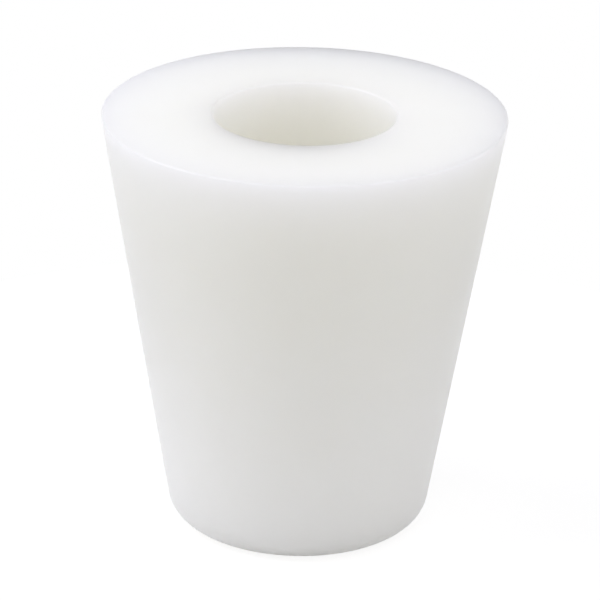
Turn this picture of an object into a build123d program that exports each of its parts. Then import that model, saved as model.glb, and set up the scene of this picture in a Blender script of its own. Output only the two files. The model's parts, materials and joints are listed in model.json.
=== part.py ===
"""One-hole tapered stopper, moulded in one piece from translucent white silicone rubber.

It stands on its narrow foot. The side leans out in a straight taper to a crisp upper rim, and a plain round bore
for a tube, thermometer or airlock stem runs right through the middle. The foot is well rounded where it starts
into a neck, the rim is nearly sharp, and both ends of the bore are slightly rounded.

Frame: millimetres, +Z up along the bore, origin at the centre of the foot, on the surface that it stands on.
"""

from build123d import *

import os
from math import atan2, pi, tan

# Driving dimensions
height = 25.0
top_diameter = 23.3  # across the upper face, to the sharp corner of the rim
foot_diameter = 14.9  # across the foot, where the taper would meet the standing face
bore_diameter = 10.5

# Edge roundings
rim_round = 0.12  # upper rim, nearly sharp
foot_round = 1.7  # outer edge of the foot
mouth_round = 0.15  # upper end of the bore
outlet_round = 0.25  # lower end of the bore

foot_land = 0.4  # least flat ring left between the two roundings of the foot


def tangent_length(corner_angle):
    """How far a rounding of radius 1 reaches along each side of a corner of that inner angle."""
    return 1 / tan(corner_angle / 2)


def fitting_foot_round():
    """The foot's rounding, held back where a thin foot would leave no flat ring to stand on."""
    lean = atan2((top_diameter - foot_diameter) / 2, height)
    foot_wall = (foot_diameter - bore_diameter) / 2
    room = foot_wall - outlet_round - foot_land
    return min(foot_round, room / tangent_length(pi / 2 + lean))


def half_section():
    """The right half of the section through the axis, on the XZ plane, with its four corners rounded."""
    outlet = (bore_diameter / 2, 0)
    foot = (foot_diameter / 2, 0)
    rim = (top_diameter / 2, height)
    mouth = (bore_diameter / 2, height)
    roundings = {
        outlet: outlet_round,
        foot: fitting_foot_round(),
        rim: rim_round,
        mouth: mouth_round,
    }
    section = make_face(Polyline(outlet, foot, rim, mouth, close=True))
    for corner, radius in roundings.items():
        nearest = section.vertices().sort_by_distance(corner)[0]
        section = fillet(nearest, radius)
    return Plane.XZ * section


def stopper():
    """The whole stopper: its half section turned about the axis."""
    return revolve(half_section(), Axis.Z)


os.makedirs("parts", exist_ok=True)
export_step(stopper(), "parts/stopper.step")
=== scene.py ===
"""The looks of the stopper: translucent white silicone rubber on a plain white floor in soft studio light.

Everything is in metres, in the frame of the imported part: +Z up along the bore, origin at the centre of
the foot.
"""

import json
import math

import bpy
from mathutils import Matrix, Vector

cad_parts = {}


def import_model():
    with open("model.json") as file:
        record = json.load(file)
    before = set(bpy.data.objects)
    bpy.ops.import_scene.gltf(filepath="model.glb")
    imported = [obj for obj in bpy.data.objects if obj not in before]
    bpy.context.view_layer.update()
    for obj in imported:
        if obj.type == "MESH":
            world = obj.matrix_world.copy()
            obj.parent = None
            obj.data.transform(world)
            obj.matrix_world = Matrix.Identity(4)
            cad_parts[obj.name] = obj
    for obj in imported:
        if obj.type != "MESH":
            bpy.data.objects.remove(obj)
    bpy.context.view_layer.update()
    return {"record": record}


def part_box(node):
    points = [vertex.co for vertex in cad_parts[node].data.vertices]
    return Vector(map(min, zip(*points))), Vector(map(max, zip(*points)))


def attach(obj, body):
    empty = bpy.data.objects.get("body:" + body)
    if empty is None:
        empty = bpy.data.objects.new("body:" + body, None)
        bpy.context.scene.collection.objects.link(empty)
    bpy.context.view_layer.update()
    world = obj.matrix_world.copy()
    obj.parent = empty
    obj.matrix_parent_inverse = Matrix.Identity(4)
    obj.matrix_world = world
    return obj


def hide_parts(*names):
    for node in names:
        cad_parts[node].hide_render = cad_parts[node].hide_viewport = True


NODE = "stopper"

MM = 0.001

# The section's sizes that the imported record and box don't give
FOOT_RADIUS = 7.45 * MM  # where the taper would meet the standing face
TOP_RADIUS = 11.65 * MM  # to the sharp corner of the rim
RIM_ROUND = 0.12 * MM
FOOT_ROUND = 1.7 * MM
MOUTH_ROUND = 0.15 * MM
OUTLET_ROUND = 0.25 * MM

# The lathe's mesh
SEGMENTS = 288
ROUND_STEPS = 14
ROW_LENGTH = 0.5 * MM

# The silicone
LIGHT_REACH = 10 * MM  # about how far red light spreads inside
REACH_SHARES = (1.0, 0.97, 0.97)  # of that reach, for red, green and blue
SILICONE_IOR = 1.41
CLEAR_WHITE = (0.946, 0.920, 0.810)
CLOUDY_WHITE = (0.938, 0.910, 0.798)

CLOUD_SIZE = 5 * MM
SATIN_PATCH = 1.6 * MM  # size of the patches that differ in roughness
SATIN_RANGE = (0.34, 0.46)
WAVE_SIZE = 3.5 * MM
WAVE_DEPTH = 0.04 * MM
GRAIN_SIZE = 0.18 * MM
GRAIN_DEPTH = 0.004 * MM

# The white card that the stopper stands on
CARD_RADIUS = 40 * MM
CARD_SIDES = 96
CARD_DROP = 0.02 * MM  # clear of the foot
CARD_BOUNCE = 0.9  # how much light it throws back on the stopper
CARD_SHADE = 0.18  # how strongly it shows a shadow
CARD_GLOW = 0.86  # brings it up to white where no shadow falls

# The lamps, all aimed at the stopper's middle
AIM = (0, 0, 12 * MM)
SOFTBOX_SIZE = (0.75, 0.75)
SOFTBOX_OUT = 0.675
SOFTBOX_UP = 0.78
PANEL_SIZE = (0.75, 0.55)
PANEL_OUT = 1.0
PANEL_NEARER = 0.05  # towards the camera's side
PANEL_UP = 0.28
COOL_WHITE = (0.85, 0.87, 1.0)
PLAIN_WHITE = (1.0, 0.965, 0.98)
ROOM_WHITE = (0.945, 0.94, 0.98)
ROOM_LIGHT = 0.39  # what reaches the stopper evenly from all round

# Camera
CAMERA_PLACE = (-0.00008, -0.21498, 0.10302)
CAMERA_DIP = 22.624  # degrees below level
CAMERA_ROLL = 1.072  # degrees
LENS = 240.0
SENSOR = 36.0


# ---------------------------------------------------------------- shape

def rounded(before, corner, after, radius):
    """The points of the arc of that radius that rounds a corner of the section."""
    before, corner, after = Vector(before), Vector(corner), Vector(after)
    back = (before - corner).normalized()
    on = (after - corner).normalized()
    half = back.angle(on) / 2
    centre = corner + (back + on).normalized() * radius / math.sin(half)
    start = corner + back * radius / math.tan(half) - centre
    end = corner + on * radius / math.tan(half) - centre
    turn = start.angle_signed(end)
    return [centre + Matrix.Rotation(-turn * i / ROUND_STEPS, 2) @ start for i in range(ROUND_STEPS + 1)]


def with_rows(points):
    """The closed section with its long straight runs divided into short rows."""
    rows = []
    for here, there in zip(points, points[1:] + points[:1]):
        count = max(1, math.ceil((there - here).length / ROW_LENGTH))
        rows += [here.lerp(there, i / count) for i in range(count)]
    return rows


def section(bore_radius, height):
    """The closed outline of the right half of the section, as (radius, height) points."""
    outlet = (bore_radius, 0)
    foot = (FOOT_RADIUS, 0)
    rim = (TOP_RADIUS, height)
    mouth = (bore_radius, height)
    corners = [outlet, foot, rim, mouth]
    radii = [OUTLET_ROUND, FOOT_ROUND, RIM_ROUND, MOUTH_ROUND]
    points = []
    for i, radius in enumerate(radii):
        points += rounded(corners[i - 1], corners[i], corners[(i + 1) % 4], radius)
    return with_rows(points)


def lathe(name, outline):
    """A smooth closed mesh: the outline turned about the Z axis."""
    verts = []
    for step in range(SEGMENTS):
        angle = 2 * math.pi * step / SEGMENTS
        verts += [(r * math.cos(angle), r * math.sin(angle), z) for r, z in outline]
    count = len(outline)
    faces = []
    for step in range(SEGMENTS):
        a = step * count
        b = (step + 1) % SEGMENTS * count
        for i in range(count):
            j = (i + 1) % count
            faces.append((a + i, b + i, b + j, a + j))
    mesh = bpy.data.meshes.new(name)
    mesh.from_pydata(verts, [], faces)
    mesh.validate()
    mesh.shade_smooth()
    piece = bpy.data.objects.new(name, mesh)
    bpy.context.scene.collection.objects.link(piece)
    return piece


# ---------------------------------------------------------------- materials

def new_material(name):
    material = bpy.data.materials.new(name)
    material.use_nodes = True
    material.node_tree.nodes.clear()
    return material, material.node_tree.nodes, material.node_tree.links


def noise(nodes, links, place, feature, detail):
    """A soft random pattern from 0 to 1, with features of that size in metres."""
    node = nodes.new("ShaderNodeTexNoise")
    node.inputs["Scale"].default_value = 1 / feature
    node.inputs["Detail"].default_value = detail
    node.inputs["Roughness"].default_value = 0.5
    links.new(place, node.inputs["Vector"])
    return node.outputs["Fac"]


def spread(nodes, links, value, low, high):
    """The pattern's middle half stretched to run from low to high."""
    node = nodes.new("ShaderNodeMapRange")
    node.inputs["From Min"].default_value = 0.25
    node.inputs["From Max"].default_value = 0.75
    node.inputs["To Min"].default_value = low
    node.inputs["To Max"].default_value = high
    links.new(value, node.inputs["Value"])
    return node.outputs["Result"]


def blended(nodes, links, value, first, second):
    """A colour that goes from first to second with the pattern."""
    node = nodes.new("ShaderNodeMix")
    node.data_type = "RGBA"
    node.inputs["A"].default_value = (*first, 1)
    node.inputs["B"].default_value = (*second, 1)
    links.new(value, node.inputs["Factor"])
    return node.outputs["Result"]


def bump(nodes, links, height, depth, under=None):
    """A surface normal with the pattern raised by that depth in metres."""
    node = nodes.new("ShaderNodeBump")
    node.inputs["Distance"].default_value = depth
    links.new(height, node.inputs["Height"])
    if under:
        links.new(under, node.inputs["Normal"])
    return node.outputs["Normal"]


def silicone():
    """Satin, translucent white silicone rubber, faintly cloudy inside and faintly uneven from its mould."""
    material, nodes, links = new_material("white_silicone")
    out = nodes.new("ShaderNodeOutputMaterial")
    shader = nodes.new("ShaderNodeBsdfPrincipled")
    links.new(shader.outputs["BSDF"], out.inputs["Surface"])
    shader.subsurface_method = "RANDOM_WALK"
    shader.inputs["Subsurface Weight"].default_value = 1.0
    shader.inputs["Subsurface Radius"].default_value = REACH_SHARES
    shader.inputs["Subsurface Scale"].default_value = LIGHT_REACH
    shader.inputs["IOR"].default_value = SILICONE_IOR

    place = nodes.new("ShaderNodeTexCoord").outputs["Object"]
    cloud = spread(nodes, links, noise(nodes, links, place, CLOUD_SIZE, 3), 0, 1)
    links.new(blended(nodes, links, cloud, CLEAR_WHITE, CLOUDY_WHITE), shader.inputs["Base Color"])
    satin = spread(nodes, links, noise(nodes, links, place, SATIN_PATCH, 4), *SATIN_RANGE)
    links.new(satin, shader.inputs["Roughness"])
    waves = bump(nodes, links, noise(nodes, links, place, WAVE_SIZE, 1), WAVE_DEPTH)
    grain = bump(nodes, links, noise(nodes, links, place, GRAIN_SIZE, 2), GRAIN_DEPTH, waves)
    links.new(grain, shader.inputs["Normal"])
    return material


def seen_directly(nodes, links):
    """1 where a camera, glossy or transmission ray looks, and 0 where light is gathered."""
    path = nodes.new("ShaderNodeLightPath")
    first = nodes.new("ShaderNodeMath")
    first.operation = "MAXIMUM"
    links.new(path.outputs["Is Camera Ray"], first.inputs[0])
    links.new(path.outputs["Is Glossy Ray"], first.inputs[1])
    both = nodes.new("ShaderNodeMath")
    both.operation = "MAXIMUM"
    links.new(first.outputs[0], both.inputs[0])
    links.new(path.outputs["Is Transmission Ray"], both.inputs[1])
    return both.outputs[0]


def white_floor():
    """A matt white floor that shows white to the camera, less the object's soft shadow."""
    material, nodes, links = new_material("white_floor")
    out = nodes.new("ShaderNodeOutputMaterial")
    mix = nodes.new("ShaderNodeMixShader")
    matt = nodes.new("ShaderNodeBsdfDiffuse")
    matt.inputs["Color"].default_value = (CARD_BOUNCE, CARD_BOUNCE, CARD_BOUNCE, 1)
    shown = nodes.new("ShaderNodeAddShader")
    shade = nodes.new("ShaderNodeBsdfDiffuse")
    shade.inputs["Color"].default_value = (CARD_SHADE, CARD_SHADE, CARD_SHADE, 1)
    glow = nodes.new("ShaderNodeEmission")
    glow.inputs["Strength"].default_value = CARD_GLOW
    links.new(shade.outputs[0], shown.inputs[0])
    links.new(glow.outputs[0], shown.inputs[1])
    links.new(seen_directly(nodes, links), mix.inputs["Fac"])
    links.new(matt.outputs[0], mix.inputs[1])
    links.new(shown.outputs[0], mix.inputs[2])
    links.new(mix.outputs[0], out.inputs["Surface"])
    return material


# ---------------------------------------------------------------- stage

def floor():
    """A round card. Past its edge the background is as white as the card."""
    turns = [2 * math.pi * i / CARD_SIDES for i in range(CARD_SIDES)]
    rim = [(CARD_RADIUS * math.cos(turn), CARD_RADIUS * math.sin(turn), 0) for turn in turns]
    mesh = bpy.data.meshes.new("floor")
    mesh.from_pydata(rim, [], [range(CARD_SIDES)])
    mesh.materials.append(white_floor())
    piece = bpy.data.objects.new("floor", mesh)
    piece.location.z = -CARD_DROP
    bpy.context.scene.collection.objects.link(piece)


def area_light(name, place, size, power, colour):
    """A rectangular lamp of that power in watts, which the camera doesn't see."""
    lamp = bpy.data.lights.new(name, "AREA")
    lamp.shape = "RECTANGLE"
    lamp.size, lamp.size_y = size
    lamp.energy = power
    lamp.color = colour
    piece = bpy.data.objects.new(name, lamp)
    piece.location = place
    piece.rotation_euler = (Vector(AIM) - Vector(place)).to_track_quat("-Z", "Y").to_euler()
    piece.visible_camera = False
    bpy.context.scene.collection.objects.link(piece)


def lights():
    """Three soft boxes overhead and two weak panels low down, strongest from the left."""
    left_box = (-SOFTBOX_OUT, 0, SOFTBOX_UP)
    right_box = (SOFTBOX_OUT, 0, SOFTBOX_UP)
    front_box = (0, -SOFTBOX_OUT, SOFTBOX_UP)
    left_panel = (-PANEL_OUT, -PANEL_NEARER, PANEL_UP)
    right_panel = (PANEL_OUT, -PANEL_NEARER, PANEL_UP)
    area_light("softbox_left", left_box, SOFTBOX_SIZE, 5.75, COOL_WHITE)
    area_light("softbox_right", right_box, SOFTBOX_SIZE, 1.98, COOL_WHITE)
    area_light("softbox_front", front_box, SOFTBOX_SIZE, 3.05, PLAIN_WHITE)
    area_light("panel_left", left_panel, PANEL_SIZE, 1.4, PLAIN_WHITE)
    area_light("panel_right", right_panel, PANEL_SIZE, 1.2, PLAIN_WHITE)


def world():
    """Even, dim, nearly white light all round, and plain white wherever it is looked at."""
    made = bpy.data.worlds.new("studio")
    made.use_nodes = True
    nodes, links = made.node_tree.nodes, made.node_tree.links
    nodes.clear()
    out = nodes.new("ShaderNodeOutputWorld")
    mix = nodes.new("ShaderNodeMixShader")
    dim = nodes.new("ShaderNodeBackground")
    dim.inputs["Color"].default_value = (*ROOM_WHITE, 1)
    dim.inputs["Strength"].default_value = ROOM_LIGHT
    white = nodes.new("ShaderNodeBackground")
    white.inputs["Color"].default_value = (1, 1, 1, 1)
    white.inputs["Strength"].default_value = 1.0
    links.new(seen_directly(nodes, links), mix.inputs["Fac"])
    links.new(dim.outputs[0], mix.inputs[1])
    links.new(white.outputs[0], mix.inputs[2])
    links.new(mix.outputs[0], out.inputs["Surface"])
    bpy.context.scene.world = made


def camera():
    lens = bpy.data.cameras.new("camera")
    lens.lens = LENS
    lens.sensor_width = SENSOR
    lens.clip_start = 0.01
    lens.clip_end = 10.0
    piece = bpy.data.objects.new("camera", lens)
    dip, roll = math.radians(CAMERA_DIP), math.radians(CAMERA_ROLL)
    level = Matrix.Rotation(math.pi / 2 - dip, 4, "X")
    piece.matrix_world = Matrix.Translation(CAMERA_PLACE) @ level @ Matrix.Rotation(roll, 4, "Z")
    bpy.context.scene.collection.objects.link(piece)
    bpy.context.scene.camera = piece


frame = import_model()
bore = next(m for m in frame["record"]["mounts"] if m["name"] == "tube_bore")

body = lathe("stopper_body", section(bore["dims"]["r_mm"] * MM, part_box(NODE)[1].z))
body.data.materials.append(silicone())
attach(body, "root")
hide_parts(NODE)

floor()
lights()
world()
camera()
bpy.context.scene.view_settings.view_transform = "Standard"
